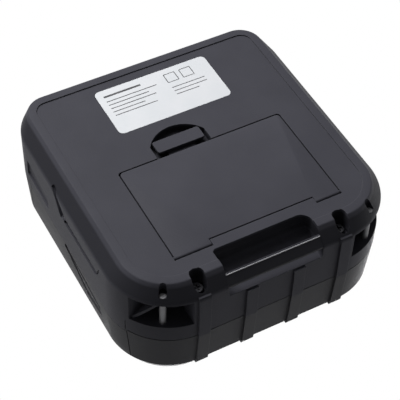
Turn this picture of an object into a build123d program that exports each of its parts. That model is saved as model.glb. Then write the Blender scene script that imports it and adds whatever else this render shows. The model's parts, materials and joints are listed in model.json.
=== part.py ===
"""Rugged mobile label printer with a hinged media lid.

Millimetres. +Z is up and the underside rests on z = 0. The front, with the paper exit and the
buttons, faces -Y. The rear wall, with the belt bar and the strap posts, faces +Y.
"""

from build123d import *
from math import atan2, cos, degrees, hypot, pi, radians, sin
import os

os.makedirs("parts", exist_ok=True)

# Driving dimensions of the casing
WIDTH = 155.0
DEPTH = 160.0
HEIGHT = 71.0
WALL = 2.5
SEAM = 38.5            # height of the seam between the base and the rear housing
LID_SEAM = 40.0        # height of the lid's lower edge
SEAM_GAP = 0.3
RIM_INSET = 7.35       # how far the underside's rim stands inside the widest outline
RIM_HEIGHT = 8.9       # where the chamfer above the rim reaches the widest outline
SHOULDER = 62.5
SHOULDER_INSET = 1.6
TOP_INSET = 6.4
REAR_RADIUS = 35.3     # corner radii of the widest outline, in plan
FRONT_RADIUS = 27.5
RIM_REAR_RADIUS = 24.8
RIM_FRONT_RADIUS = 11.3
RIM_EASE = 1.2         # rounding of the rim, of the bend above its chamfer, and of the top
BEND_EASE = 4.0
TOP_EASE = 3.0

# Underside
FACE_STEP = 0.6        # the flat face stands this far inside the rim
FACE_MARGIN = 4.6
DOOR_X = (-45.5, 49.5)
DOOR_FRONT = -4.2
DOOR_NOTCH = 54.7
DOOR_TABS = 58.7
TAB_LEFT = -25.0
TAB_RIGHT = 35.3
DOOR_THICK = 2.4
DOOR_GAP = 0.45
BAY_TOP = 26.2          # inside height of the battery bay
BAY_FRONT = 8.3         # the pack's front; ahead of it the bay is low, under the media tray
BAY_LOW = 12.5
LABEL_X = (-32.5, 35.1)
LABEL_Y = (-62.7, -28.5)
LABEL_THICK = 0.2

# Split lines of the upper casing
LID_FRONT = -50.0
LID_REAR = 60.4
FRONT_EDGE = -54.0
REAR_EDGE = 62.3
HINGE_Y = 64.0
HINGE_Z = 68.0
HINGE_R = 3.0
PIN_R = 1.5
HINGE_HALF = 46.0
LID_LUGS = ((-38.0, -24.0), (24.0, 38.0))
SLOT_HALF = 60.0       # half the width of the paper slot between the lid and the tear bar
GEAR_SLOT = 67.0       # the front housing is cut back this far out, for the gears that rise with the lid
SPLIT_GAP = 0.5

# Print mechanism
PLATEN_Y = -44.0
PLATEN_Z = 58.0
PLATEN_R = 7.0
SHAFT_R = 2.5
HEAD_HALF = 54.0
HEAD_GAP = 0.6
FRAME_X = 66.0
FRAME_THICK = 1.5
GEAR_X = (60.8, 65.0)
MODULE = 0.5
PLATEN_TEETH = 32
IDLER_TEETH = 40
PINION_TEETH = 12
MOTOR_ANGLE = 198.2    # from the idler towards the motor, in degrees

# Media bay
ROLL_Y = -17.0
ROLL_Z = 41.0
TRAY_R = 25.0
TRAY_WALL = 1.5
TRAY_HALF = 59.6
GUIDE_X = 56.2
GUIDE_THICK = 2.0
RACK_MODULE = 0.8
RACK_TEETH = 12
RACK_Z = (9.4, 12.0)

# Features of the rear wall
WELL_X = 40.5
WELL_Y = 73.4
POST_X = 59.0
POST_Y = 71.6
RIB_X = (-40.3, -13.5, 13.5, 40.3)
RIB_WIDTH = 6.7
RIB_PROUD = 1.2
RECESS_HALF = 27.0
WINDOW_Z = (10.0, 27.4)
WINDOW_X_EDGE = 45.8
WINDOW_Y_EDGE = 62.0


def box(x0, x1, y0, y1, z0, z1):
    """A block given by its lowest and highest corners."""
    block = Box(x1 - x0, y1 - y0, z1 - z0, align=(Align.MIN, Align.MIN, Align.MIN))
    return Pos(x0, y0, z0) * block


def rod_x(x0, x1, y, z, radius):
    """A round bar along X."""
    return Pos(x0, y, z) * Rot(0, 90, 0) * Cylinder(radius, x1 - x0, align=(Align.CENTER, Align.CENTER, Align.MIN))


def rod_z(x, y, z0, z1, radius):
    """A round bar along Z."""
    return Pos(x, y, z0) * Cylinder(radius, z1 - z0, align=(Align.CENTER, Align.CENTER, Align.MIN))


def slab(sketch, z0, z1):
    """A plan sketch raised from z0 to z1."""
    return extrude(Pos(0, 0, z0) * sketch, z1 - z0)


def side_prism(x0, x1, face):
    """A face drawn with Y across and Z up, carried along X from x0 to x1."""
    plane = Plane(origin=(x0, 0, 0), x_dir=(0, 1, 0), z_dir=(1, 0, 0))
    return extrude(plane * face, x1 - x0)


def outline(grow, rear, front):
    """The casing's plan outline, with its own corner radii at the rear and the front."""
    x = WIDTH / 2 + grow
    y = DEPTH / 2 + grow
    face = Rectangle(2 * x, 2 * y)
    back = face.vertices().group_by(Axis.Y)[-1]
    face = fillet(back, rear)
    return fillet(face.vertices().group_by(Axis.Y)[0], front)


def stage_between(low, high):
    """One ruled stage of the casing between two outlines at two heights."""
    (z0, face0), (z1, face1) = low, high
    return loft([Pos(0, 0, z0) * face0, Pos(0, 0, z1) * face1], ruled=True)


def casing(inset):
    """The casing's outer form, or the form of its hollow where inset is the wall."""
    def ring(shrink, rear, front):
        return outline(-shrink - inset, max(rear - inset, 2), max(front - inset, 2))

    rim = ring(RIM_INSET, RIM_REAR_RADIUS, RIM_FRONT_RADIUS)
    full = ring(0, REAR_RADIUS, FRONT_RADIUS)
    shoulder = ring(SHOULDER_INSET, REAR_RADIUS - SHOULDER_INSET, FRONT_RADIUS - SHOULDER_INSET)
    top = ring(TOP_INSET, REAR_RADIUS - TOP_INSET, FRONT_RADIUS - TOP_INSET)
    low, high = inset, HEIGHT - inset
    form = stage_between((low, rim), (RIM_HEIGHT, full))
    form += stage_between((RIM_HEIGHT, full), (SEAM, full))
    form += stage_between((SEAM, full), (SHOULDER, shoulder))
    form += stage_between((SHOULDER, shoulder), (high, top))
    return form


def gear(teeth, module, thickness, first_tooth=0.0):
    """A spur gear blank in the XY plane, with a tooth centred at the angle first_tooth."""
    pitch = 2 * pi / teeth
    radius = module * teeth / 2
    root, tip = radius - 1.15 * module, radius + 0.85 * module
    points = []
    for tooth in range(teeth):
        centre = first_tooth + tooth * pitch
        for reach, half in ((root, -0.27), (tip, -0.11), (tip, 0.11), (root, 0.27)):
            angle = centre + half * pitch
            points.append((reach * cos(angle), reach * sin(angle)))
    return extrude(make_face(Polyline(points, close=True)), thickness)


def gear_on_x(teeth, module, x0, x1, y, z, first_tooth=0.0):
    """A spur gear whose axis runs along X. Its angle is measured from +Y towards +Z."""
    blank = gear(teeth, module, x1 - x0, first_tooth)
    plane = Plane(origin=(x0, y, z), x_dir=(0, 1, 0), z_dir=(1, 0, 0))
    return plane * blank


# Places that follow from the driving dimensions
PLATEN_PITCH = MODULE * PLATEN_TEETH / 2
IDLER_PITCH = MODULE * IDLER_TEETH / 2
PINION_PITCH = MODULE * PINION_TEETH / 2
# The idler stands straight below the way the platen leaves as the lid opens.
LIFT = atan2(HINGE_Y - PLATEN_Y, PLATEN_Z - HINGE_Z)
IDLER_Y = PLATEN_Y - (PLATEN_PITCH + IDLER_PITCH) * cos(LIFT)
IDLER_Z = PLATEN_Z - (PLATEN_PITCH + IDLER_PITCH) * sin(LIFT)
MOTOR_Y = IDLER_Y + (IDLER_PITCH + PINION_PITCH) * cos(radians(MOTOR_ANGLE))
MOTOR_Z = IDLER_Z + (IDLER_PITCH + PINION_PITCH) * sin(radians(MOTOR_ANGLE))


def eased(form):
    """The casing's form with its rim, its bend and its top edge rounded."""
    ends = form.bounding_box()
    for height, radius in ((ends.min.Z, RIM_EASE), (RIM_HEIGHT, BEND_EASE), (ends.max.Z, TOP_EASE)):
        edges = form.edges().filter_by_position(Axis.Z, height - 0.01, height + 0.01)
        form = fillet(edges, radius)
    return form


OUTER = eased(casing(0))
INNER = casing(WALL)
SHELL = OUTER - INNER
FAR = 100


def door_plan(gap=0.0):
    """The battery door's outline with its two hinge tabs, grown by a gap for its pocket."""
    left, right = DOOR_X[0] - gap, DOOR_X[1] + gap
    front, notch, rear = DOOR_FRONT - gap, DOOR_NOTCH + gap, DOOR_TABS + gap
    points = [(left, front), (right, front), (right, rear), (TAB_RIGHT - gap, rear),
              (TAB_RIGHT - gap, notch), (TAB_LEFT + gap, notch), (TAB_LEFT + gap, rear), (left, rear)]
    face = make_face(Polyline(points, close=True))
    corners = [v for v in face.vertices() if v.Y < 0]
    return fillet(corners, 2.0)


WELL_LEFT, WELL_RIGHT = -22.9, 9.0
WELL_FRONT, WELL_SHOULDER = -22.2, -13.0
WELL_FLOOR = 5.0


def finger_well():
    """The half-moon hollow in front of the door, for a fingertip."""
    arc = ThreePointArc((WELL_LEFT, WELL_SHOULDER), ((WELL_LEFT + WELL_RIGHT) / 2, WELL_FRONT),
                        (WELL_RIGHT, WELL_SHOULDER))
    rest = Polyline([(WELL_RIGHT, WELL_SHOULDER), (WELL_RIGHT, DOOR_FRONT), (WELL_LEFT, DOOR_FRONT),
                     (WELL_LEFT, WELL_SHOULDER)])
    return make_face(arc + rest)


def recess_profile(grow=0.0):
    """The belt recess seen from the side, from the underside round to the rear wall."""
    start = (61.5 - grow, -3)
    low, bend, high = (61.5 - grow, 0), (64.6 - grow * 0.8, 10.5 + grow * 0.6), (73, 15.8 + grow)
    wall = (90, 17.4 + grow)
    lines = Polyline([start, low]) + ThreePointArc(low, bend, high) + Polyline([high, wall, (90, -3), start])
    return make_face(lines)


def bar_profile():
    """The belt bar's section, whose outer side continues the casing's own surface."""
    points = [(75.3, 3.5), (79.6, 8.7), (79.6, 10.8), (76.8, 10.8), (76.3, 9.4), (73.2, 5.9)]
    face = make_face(Polyline(points, close=True))
    return fillet(face.vertices(), 0.9)


def belt_recess():
    """The recess itself, with rounded corners in the underside and in the rear wall."""
    cut = side_prism(-RECESS_HALF, RECESS_HALF, recess_profile())
    plan = Pos(0, 61.5 + 20) * Rectangle(2 * RECESS_HALF, 40)
    near = plan.vertices().group_by(Axis.Y)[0].sort_by(Axis.X)
    plan = fillet(near[0], 2.0)
    plan = fillet(plan.vertices().group_by(Axis.Y)[0].sort_by(Axis.X)[-1], 6.0)
    wall = Pos(0, -3) * Rectangle(2 * RECESS_HALF, 2 * 20.4)
    wall = fillet(wall.vertices().group_by(Axis.Y)[-1], 3.5)
    return cut & slab(plan, -4, 20) & extrude(Plane.XZ.offset(-50) * wall, -50)


def corner_brace(side):
    """The slanted web that crosses the outer end of a corner window."""
    turn = 136.0 if side < 0 else 44.0
    radius = 31.0
    x = side * (WIDTH / 2 - REAR_RADIUS) + radius * cos(radians(turn))
    y = DEPTH / 2 - REAR_RADIUS + radius * sin(radians(turn))
    web = Pos(x, y, 18) * Rot(0, 0, turn - 90) * Rot(0, -side * 51.3, 0) * Box(34, 14, 1.4)
    return web & corner_ring(26, 33.8, WINDOW_Z[0] - 0.5, WINDOW_Z[1] + 0.5, side, 60.5, WINDOW_Y_EDGE - 1)


def hinge_sweep(y, z):
    """All that lies nearer the hinge than a point which swings with the lid."""
    return rod_x(-FAR, FAR, HINGE_Y, HINGE_Z, hypot(y - HINGE_Y, z - HINGE_Z))


def corner_ring(inner, outer, z0, z1, side, x_edge, y_edge):
    """A ring sector round a rear corner, between two radii, two heights and two edges."""
    x, y = side * (WIDTH / 2 - REAR_RADIUS), DEPTH / 2 - REAR_RADIUS
    ring = rod_z(x, y, z0, z1, outer) - rod_z(x, y, z0 - 1, z1 + 1, inner)
    far = 100
    if side < 0:
        return ring & box(-far, -x_edge, y_edge, far, z0, z1)
    return ring & box(x_edge, far, y_edge, far, z0, z1)


def rear_ribs(z0, z1, columns, rear=1):
    """Upright ribs on an end wall, which follow the casing's own profile a little proud of it."""
    skin = eased(casing(-RIB_PROUD)) - INNER
    ribs = None
    for x in columns:
        low, high = (60, 90) if rear > 0 else (-90, -60)
        rib = skin & box(x - RIB_WIDTH / 2, x + RIB_WIDTH / 2, low, high, z0, z1)
        ribs = rib if ribs is None else ribs + rib
    return ribs



SCREW_R = 1.5
SCREW_HEAD_R = 2.9
WELL_R = 3.8
WELL_TOP = 12.0
FRONT_BOSS = (50.0, -73.6)
LATCH_SHAFT_Y = -61.5
LATCH_SHAFT_Z = 47.0
LATCH_SHAFT_R = 1.5
LATCH_SHAFT_HALF = 70.8
DOOR_PIVOT_Y = 57.5
DOOR_PIVOT_Z = 1.8
DOOR_PIN_R = 0.9
PORT_Y = (14.0, 44.6)
PORT_Z = (13.0, 27.0)
FLAP_HALF = 1.1        # half the flap's thickness, and the radius of its hinged edge
FLAP_PIN_R = 0.6


def underside_face():
    """The flat face inside the rim."""
    shrink = RIM_INSET + FACE_MARGIN
    return outline(-shrink, RIM_REAR_RADIUS - FACE_MARGIN, RIM_FRONT_RADIUS - FACE_MARGIN)


def base_shell():
    keep = box(-FAR, FAR, -FAR, FAR, -1, SEAM)
    keep += box(-FAR, FAR, LID_FRONT, LID_REAR + 0.3, SEAM, LID_SEAM - SEAM_GAP)
    shell = SHELL & keep
    # battery bay
    left, right = DOOR_X[0] - 2.7, DOOR_X[1] + 2.7
    shell += box(left, right, DOOR_FRONT - 2.1, 61.0, 1, BAY_LOW + 1.6)
    shell += box(left, right, BAY_FRONT - 1.8, 55.5, 1, BAY_TOP + 1.8)
    shell += box(WELL_LEFT - 1.8, WELL_RIGHT + 1.8, WELL_FRONT - 1.8, DOOR_FRONT, 1, WELL_FLOOR + 1.8)
    # backing of the belt recess, the corner windows and the screw columns
    shell += side_prism(-RECESS_HALF - 2.5, RECESS_HALF + 2.5, recess_profile(2.2)) & OUTER
    for side in (-1, 1):
        shell += corner_ring(21, 45, 8, 29.5, side, 43.6, 59.5) & OUTER
        shell += rod_z(side * WELL_X, WELL_Y - 1.2, 1, SEAM, 5.4) & OUTER
        shell += rod_z(side * FRONT_BOSS[0], FRONT_BOSS[1], 1, SEAM, 3.4) & OUTER
    shell += rear_ribs(8.0, SEAM, (RIB_X[0], RIB_X[3]))
    shell += rear_ribs(17.4, SEAM, (RIB_X[1], RIB_X[2]))
    shell += rear_ribs(12.0, SEAM, RIB_X, rear=-1)
    # the flat face inside the rim, and the rating label's own shallow place
    shell -= slab(underside_face(), -1, FACE_STEP)
    shell -= slab(Pos((LABEL_X[0] + LABEL_X[1]) / 2, (LABEL_Y[0] + LABEL_Y[1]) / 2)
                  * RectangleRounded(LABEL_X[1] - LABEL_X[0], LABEL_Y[1] - LABEL_Y[0], 3),
                  0, FACE_STEP + LABEL_THICK)
    # door pocket, bay and finger well
    shell -= slab(door_plan(DOOR_GAP), 0, FACE_STEP + DOOR_THICK + 0.1)
    shell -= box(DOOR_X[0] + 2, DOOR_X[1] - 2, DOOR_FRONT + 2, DOOR_NOTCH - 1.7, 2, BAY_LOW)
    shell -= box(DOOR_X[0] + 2, DOOR_X[1] - 2, BAY_FRONT, DOOR_NOTCH - 1.7, 2, BAY_TOP)
    shell -= slab(finger_well(), 0, WELL_FLOOR)
    shell -= box(-18, 4, DOOR_FRONT - 4, DOOR_FRONT + 3, 0, 5.3)
    shell -= box(-10, -4, -16.2, -8, 3, 12)
    for x0, x1 in ((DOOR_X[0] - 1.9, DOOR_X[0]), (DOOR_X[1], DOOR_X[1] + 1.9)):
        shell -= rod_x(x0, x1, DOOR_PIVOT_Y, DOOR_PIVOT_Z, DOOR_PIN_R + 0.05)
    # belt recess and the bar's sockets
    shell -= belt_recess()
    shell -= side_prism(-RECESS_HALF - 2, RECESS_HALF + 2, bar_profile())
    for side in (-1, 1):
        shell -= corner_ring(23.2, 50, *WINDOW_Z, side, WINDOW_X_EDGE, WINDOW_Y_EDGE)
        shell += corner_brace(side)
        x = side * WELL_X
        well = Pos(x, WELL_Y - 0.5, -1) * extrude(Rot(0, 0, 90) * SlotOverall(11.0, 2 * WELL_R), WELL_TOP + 1)
        shell -= well
        shell -= rod_z(x, WELL_Y - 1.2, WELL_TOP - 1, SEAM + 1, SCREW_R + 0.2)
        angle = degrees(atan2(POST_Y - (DEPTH / 2 - REAR_RADIUS), side * (POST_X - (WIDTH / 2 - REAR_RADIUS))))
        slot = Pos(side * POST_X, POST_Y, -1) * extrude(Rot(0, 0, angle) * SlotOverall(6.4, 3.9), 7)
        shell -= slot
        shell -= rod_z(side * POST_X, POST_Y, 5, 29, 1.75)
        shell -= rod_z(side * FRONT_BOSS[0], FRONT_BOSS[1], 22, SEAM + 1, SCREW_R)
    # port opening in the right wall
    shell -= box(70, 80, PORT_Y[0], PORT_Y[1], PORT_Z[0], PORT_Z[1])
    shell -= rod_z(WIDTH / 2 - FLAP_HALF, PORT_Y[1] - 1.5, PORT_Z[0] - 0.8, PORT_Z[1] + 0.8, FLAP_PIN_R + 0.05)
    # the left wall's slanted vent and the long groove that runs on from it
    shell -= left_grooves()
    # a fine groove that draws the seam
    seam = OUTER - casing(0.5)
    shell -= seam & box(-FAR, FAR, LID_REAR + 0.3, FAR, SEAM - 0.5, SEAM)
    shell -= seam & box(-FAR, FAR, -FAR, LID_FRONT, SEAM - 0.5, SEAM)
    # the short upright joint line that meets the seam at each rear corner
    return shell - (seam & box(-FAR, FAR, 59.8, 60.3, 31, SEAM))


def left_grooves():
    """The slanted slot in the left wall and the long thin groove behind it."""
    wall = -WIDTH / 2
    slot = side_prism(wall - 1, wall + 1.6,
                      make_face(Polyline([(-18.5, 7), (-14.5, 7), (-4.5, 20), (-8.0, 21.5)], close=True)))
    groove = side_prism(wall - 1, wall + 0.9,
                        make_face(Polyline([(-5.5, 18.6), (35, 19.0), (38.5, 13), (39.6, 13.6),
                                            (35.6, 20.4), (-5.5, 20.0)], close=True)))
    return slot + groove


def rear_housing():
    keep = box(-FAR, FAR, LID_REAR + 0.6, FAR, SEAM, FAR)
    housing = SHELL & keep
    housing += rear_ribs(SEAM, SHOULDER + 2, RIB_X)
    housing += box(-70, 70, REAR_EDGE, REAR_EDGE + 3.5, 60, HEIGHT - WALL) & INNER
    for side in (-1, 1):
        housing += rod_z(side * WELL_X, WELL_Y - 1.2, SEAM, 60, 4.2) & OUTER
    # hinge knuckles between the lid's lugs
    spans = knuckle_spans()
    for x0, x1 in spans:
        housing += rod_x(x0, x1, HINGE_Y, HINGE_Z, HINGE_R)
    for x0, x1 in LID_LUGS:
        gap = 0.4
        housing -= box(x0 - gap, x1 + gap, LID_REAR, HINGE_Y + HINGE_R + 0.6, 58, 80)
    housing -= rod_x(-HINGE_HALF, HINGE_HALF, HINGE_Y, HINGE_Z, PIN_R)
    for side in (-1, 1):
        housing -= rod_z(side * WELL_X, WELL_Y - 1.2, SEAM - 1, 54, SCREW_R)
    return housing - box(-FAR, FAR, 0, REAR_EDGE, 66.5, 80)


def knuckle_spans():
    gap = 0.4
    return ((-HINGE_HALF, LID_LUGS[0][0] - gap), (LID_LUGS[0][1] + gap, LID_LUGS[1][0] - gap),
            (LID_LUGS[1][1] + gap, HINGE_HALF))


WINDOW_X = 42.0
WINDOW_Y = (-36.0, 12.0)


def media_lid():
    lid = SHELL & box(-FAR, FAR, -FAR, LID_REAR, LID_SEAM, FAR) & hinge_sweep(LID_FRONT, LID_SEAM)
    lid -= box(-SLOT_HALF, SLOT_HALF, -FAR, LID_FRONT, LID_SEAM, FAR)
    # front lip above the platen, and the two hangers that carry its bearings
    lid += box(-58, 58, LID_FRONT, LID_FRONT + 2, 66, HEIGHT - WALL)
    for side in (-1, 1):
        x0, x1 = sorted((side * 68.2, side * 71.2))
        lid += box(x0, x1, LID_FRONT, PLATEN_Y + 7, 51, HEIGHT - 1)
        lid -= rod_x(x0, x1, PLATEN_Y, PLATEN_Z, 4.0)
        # a stiffening rib down each side of the window
        lid += box(side * 50 - 0.8, side * 50 + 0.8, -34, 54, 66.6, HEIGHT - WALL)
    width, depth = 2 * WINDOW_X, WINDOW_Y[1] - WINDOW_Y[0]
    middle = (WINDOW_Y[0] + WINDOW_Y[1]) / 2
    lid -= slab(Pos(0, middle) * RectangleRounded(width, depth, 6), HEIGHT - 1.5, 80)
    lid -= slab(Pos(0, middle) * RectangleRounded(width - 6, depth - 6, 4), 60, 80)
    for x0, x1 in LID_LUGS:
        lid += box(x0, x1, LID_REAR - 3, HINGE_Y, HINGE_Z - 0.5, HEIGHT)
        lid += rod_x(x0, x1, HINGE_Y, HINGE_Z, HINGE_R)
        lid -= rod_x(x0, x1, HINGE_Y, HINGE_Z, PIN_R + 0.05)
    return lid - lid_groove()


def lid_groove():
    """The long slanted hollow in the lid's left wall."""
    wall = -WIDTH / 2
    points = [(-3.5, 41.0), (-3.5, 42.2), (19.5, 47.6), (36, 50.0), (36, 48.2), (20.5, 44.8)]
    face = fillet(make_face(Polyline(points, close=True)).vertices(), 0.5)
    return side_prism(wall - 1, wall + 1.3, face)


def lid_window():
    width, depth = 2 * WINDOW_X, WINDOW_Y[1] - WINDOW_Y[0]
    middle = (WINDOW_Y[0] + WINDOW_Y[1]) / 2
    pane = slab(Pos(0, middle) * RectangleRounded(width - 0.2, depth - 0.2, 5.9), HEIGHT - 1.5, HEIGHT)
    return pane


BUTTON_Y = -64.5
BUTTON_R = 4.2
BUTTONS = {"power_button": -50.0, "feed_button": 36.0}
RELEASE_X = 59.0
RELEASE_Y = -64.0
RELEASE_STEM = (60.6, 62.4)
RELEASE_ARM = 5.5      # from the latch shaft to where the button's stem presses
DISPLAY_X = 24.0
DISPLAY_Y = (-71.0, -58.5)


def front_housing():
    housing = SHELL & box(-FAR, FAR, -FAR, LID_FRONT - SPLIT_GAP, SEAM, FAR)
    housing -= hinge_sweep(LID_FRONT - SPLIT_GAP, LID_SEAM)
    housing += rear_ribs(SEAM, SHOULDER + 2, RIB_X, rear=-1)
    housing += box(-60, 60, FRONT_EDGE, FRONT_EDGE + 1.4, 64, 70) & OUTER
    housing -= box(-GEAR_SLOT, GEAR_SLOT, FRONT_EDGE, LID_FRONT, 50, 80)
    for side in (-1, 1):
        x, y = side * FRONT_BOSS[0], FRONT_BOSS[1]
        housing += rod_z(x, y, SEAM, SEAM + 3, 3.4) + (box(x - 3.4, x + 3.4, -79, y, SEAM, SEAM + 3) & OUTER)
        housing -= rod_z(x, y, SEAM - 1, SEAM + 4, SCREW_R + 0.2)
    for x in BUTTONS.values():
        housing -= rod_z(x, BUTTON_Y, 60, 80, BUTTON_R + 0.2)
    housing -= rod_z(RELEASE_X, RELEASE_Y, 60, 80, 3.1)
    housing -= box(-DISPLAY_X, DISPLAY_X, DISPLAY_Y[0], DISPLAY_Y[1], HEIGHT - 1.2, 80)
    housing -= box(-DISPLAY_X + 2, DISPLAY_X - 2, DISPLAY_Y[0] + 2, DISPLAY_Y[1] - 2, 60, 80)
    housing -= rod_z(-36, BUTTON_Y, 60, 80, 1.2)
    return housing


def display_window():
    return box(-DISPLAY_X, DISPLAY_X, DISPLAY_Y[0], DISPLAY_Y[1], HEIGHT - 1.2, HEIGHT - 0.2)


def display_module():
    return box(-DISPLAY_X - 2, DISPLAY_X + 2, DISPLAY_Y[0], DISPLAY_Y[1] + 1, 66.3, HEIGHT - WALL)


def status_light():
    return rod_z(-36, BUTTON_Y, 62.1, HEIGHT + 0.1, 1.2)


def push_button(x):
    cap = rod_z(x, BUTTON_Y, 66, HEIGHT + 0.9, BUTTON_R)
    cap = fillet(cap.edges().group_by(Axis.Z)[-1], 0.6)
    return cap + rod_z(x, BUTTON_Y, 66, 68.3, BUTTON_R + 1.2)


def key_board():
    return box(-55, 55, -73, -59.2, 60.5, 62.1)


def key_switches():
    group = None
    for x in BUTTONS.values():
        switch = box(x - 3, x + 3, BUTTON_Y - 3, BUTTON_Y + 3, 62.1, 64.4) + rod_z(x, BUTTON_Y, 64, 65.1, 1.6)
        group = switch if group is None else group + switch
    return group


def release_button():
    cap = rod_z(RELEASE_X, RELEASE_Y, 66, HEIGHT + 1.6, 2.9)
    cap = fillet(cap.edges().group_by(Axis.Z)[-1], 0.6)
    cap += rod_z(RELEASE_X, RELEASE_Y, 64.0, 68.2, 3.3)
    y = LATCH_SHAFT_Y - RELEASE_ARM
    cap += box(*RELEASE_STEM, y - 1, RELEASE_Y, 63.0, 65.2)
    return cap + box(*RELEASE_STEM, y - 1, y + 1, 50.2, 65.2)


def latch_shaft():
    return rod_x(-LATCH_SHAFT_HALF, LATCH_SHAFT_HALF, LATCH_SHAFT_Y, LATCH_SHAFT_Z, LATCH_SHAFT_R)


def latch_hooks():
    """Two hooks that stand in front of the lid's hangers, and the lever that the button presses."""
    profile = make_face(Polyline([(-63.6, 44.8), (-59.6, 44.8), (-54.8, 48.2), (-51.9, 50.4), (-51.1, 53.2),
                                  (-51.1, 56.4), (-53.4, 56.4), (-54.2, 53.2), (-59.4, 49.2), (-63.6, 49.2)],
                                 close=True))
    hooks = None
    for side in (-1, 1):
        x0, x1 = sorted((side * 68.4, side * LATCH_SHAFT_HALF))
        hook = side_prism(x0, x1, profile)
        hooks = hook if hooks is None else hooks + hook
    arm = make_face(Polyline([(-69.0, 48.0), (-63.4, 44.8), (-59.5, 44.8), (-59.5, 48.7), (-64.2, 48.7),
                              (-66.0, 50.0), (-69.0, 50.0)], close=True))
    hooks += side_prism(*RELEASE_STEM, arm)
    return hooks - rod_x(-75, 75, LATCH_SHAFT_Y, LATCH_SHAFT_Z, LATCH_SHAFT_R)


def print_frame():
    """The folded steel chassis: two cheeks, the cross wall behind the head and the motor's web."""
    cheek = make_face(Polyline([(-63, 2.5), (-36, 2.5), (-36, 59.5), (-64.5, 59.5), (-64.5, 12)], close=True))
    frame = side_prism(FRAME_X, FRAME_X + FRAME_THICK, cheek)
    frame += side_prism(-FRAME_X - FRAME_THICK, -FRAME_X, cheek)
    frame += box(-FRAME_X, FRAME_X, -64.5, -63.0, 49, 59.5)
    frame += box(59.0, 60.2, -64.5, -44.8, 26, 59.5) - rod_x(58, 61, MOTOR_Y, MOTOR_Z, 3.0)
    # open seats for the platen's shaft
    frame -= box(-70, 70, PLATEN_Y - 3.4, PLATEN_Y + 3.0, PLATEN_Z, 70)
    frame -= rod_x(-70, 70, PLATEN_Y - 0.2, PLATEN_Z, 3.2)
    frame -= box(58, 60.5, PLATEN_Y - 9.5, PLATEN_Y + 9, PLATEN_Z - 9, 70)
    frame -= rod_x(-70, 70, LATCH_SHAFT_Y, LATCH_SHAFT_Z, LATCH_SHAFT_R + 0.05)
    return frame - rod_x(60, 70, IDLER_Y, IDLER_Z, SCREW_R)


def print_head():
    return box(-HEAD_HALF, HEAD_HALF, PLATEN_Y - PLATEN_R - HEAD_GAP - 0.8, PLATEN_Y - PLATEN_R - HEAD_GAP, 50, 66.5)


def head_heat_sink():
    front = PLATEN_Y - PLATEN_R - HEAD_GAP - 0.8
    sink = box(-HEAD_HALF, HEAD_HALF, front - 6, front, 49, 66)
    for index in range(17):
        x = (index - 8) * 6.0
        sink -= box(x - 1.6, x + 1.6, front - 7, front - 2.4, 49 + 2, 70)
    return sink


def tear_bar():
    """The toothed steel edge on the front housing, beside the paper slot."""
    pitch, count = 2.0, 56
    points = [(-pitch * count / 2, 66.0)]
    for tooth in range(count):
        x = (tooth - count / 2) * pitch
        points += [(x, HEIGHT - 0.4), (x + pitch / 2, HEIGHT + 0.6)]
    points += [(pitch * count / 2, HEIGHT - 0.4), (pitch * count / 2, 66.0)]
    plane = Plane(origin=(0, FRONT_EDGE + 0.7, 0), x_dir=(1, 0, 0), z_dir=(0, -1, 0))
    return extrude(plane * make_face(Polyline(points, close=True)), 0.7)


def platen_shaft():
    return rod_x(-71.0, 71.0, PLATEN_Y, PLATEN_Z, SHAFT_R)


def platen_rubber():
    return rod_x(-57, 57, PLATEN_Y, PLATEN_Z, PLATEN_R) - rod_x(-57, 57, PLATEN_Y, PLATEN_Z, SHAFT_R)


def platen_bearings():
    group = None
    for side in (-1, 1):
        x0, x1 = sorted((side * 68.2, side * 71.2))
        ring = rod_x(x0, x1, PLATEN_Y, PLATEN_Z, 4.0) - rod_x(x0, x1, PLATEN_Y, PLATEN_Z, SHAFT_R + 0.05)
        group = ring if group is None else group + ring
    return group


def platen_gear():
    # A gap faces the idler, whose own tooth points up at the platen.
    first = LIFT + pi + pi / PLATEN_TEETH
    wheel = gear_on_x(PLATEN_TEETH, MODULE, GEAR_X[0], GEAR_X[1], PLATEN_Y, PLATEN_Z, first)
    return wheel - rod_x(GEAR_X[0], GEAR_X[1], PLATEN_Y, PLATEN_Z, SHAFT_R)


def idler_gear():
    wheel = gear_on_x(IDLER_TEETH, MODULE, GEAR_X[0], GEAR_X[1], IDLER_Y, IDLER_Z, LIFT)
    for index in range(6):
        angle = index * pi / 3
        wheel -= rod_x(60, 66, IDLER_Y + 5.6 * cos(angle), IDLER_Z + 5.6 * sin(angle), 1.9)
    return wheel - rod_x(GEAR_X[0], GEAR_X[1], IDLER_Y, IDLER_Z, SCREW_R + 0.05)


def idler_post():
    return rod_x(GEAR_X[0] - 0.4, FRAME_X + FRAME_THICK, IDLER_Y, IDLER_Z, SCREW_R)


def motor_pinion():
    line = radians(MOTOR_ANGLE)
    pitch = 2 * pi / IDLER_TEETH
    past = (line - LIFT) % pitch
    gap = line + pi + past * IDLER_TEETH / PINION_TEETH
    first = gap + pi / PINION_TEETH
    return gear_on_x(PINION_TEETH, MODULE, GEAR_X[0], GEAR_X[1], MOTOR_Y, MOTOR_Z, first) \
        - rod_x(GEAR_X[0], GEAR_X[1], MOTOR_Y, MOTOR_Z, 1.0)


def motor_shaft():
    return rod_x(52, GEAR_X[1], MOTOR_Y, MOTOR_Z, 1.0)


def stepper_motor():
    can = rod_x(41, 59, MOTOR_Y, MOTOR_Z, 10)
    can = chamfer(can.edges().group_by(Axis.X)[0], 0.8)
    can += rod_x(59, 60.2, MOTOR_Y, MOTOR_Z, 3.0)
    return can - rod_x(51, 61, MOTOR_Y, MOTOR_Z, 1.05)


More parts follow.
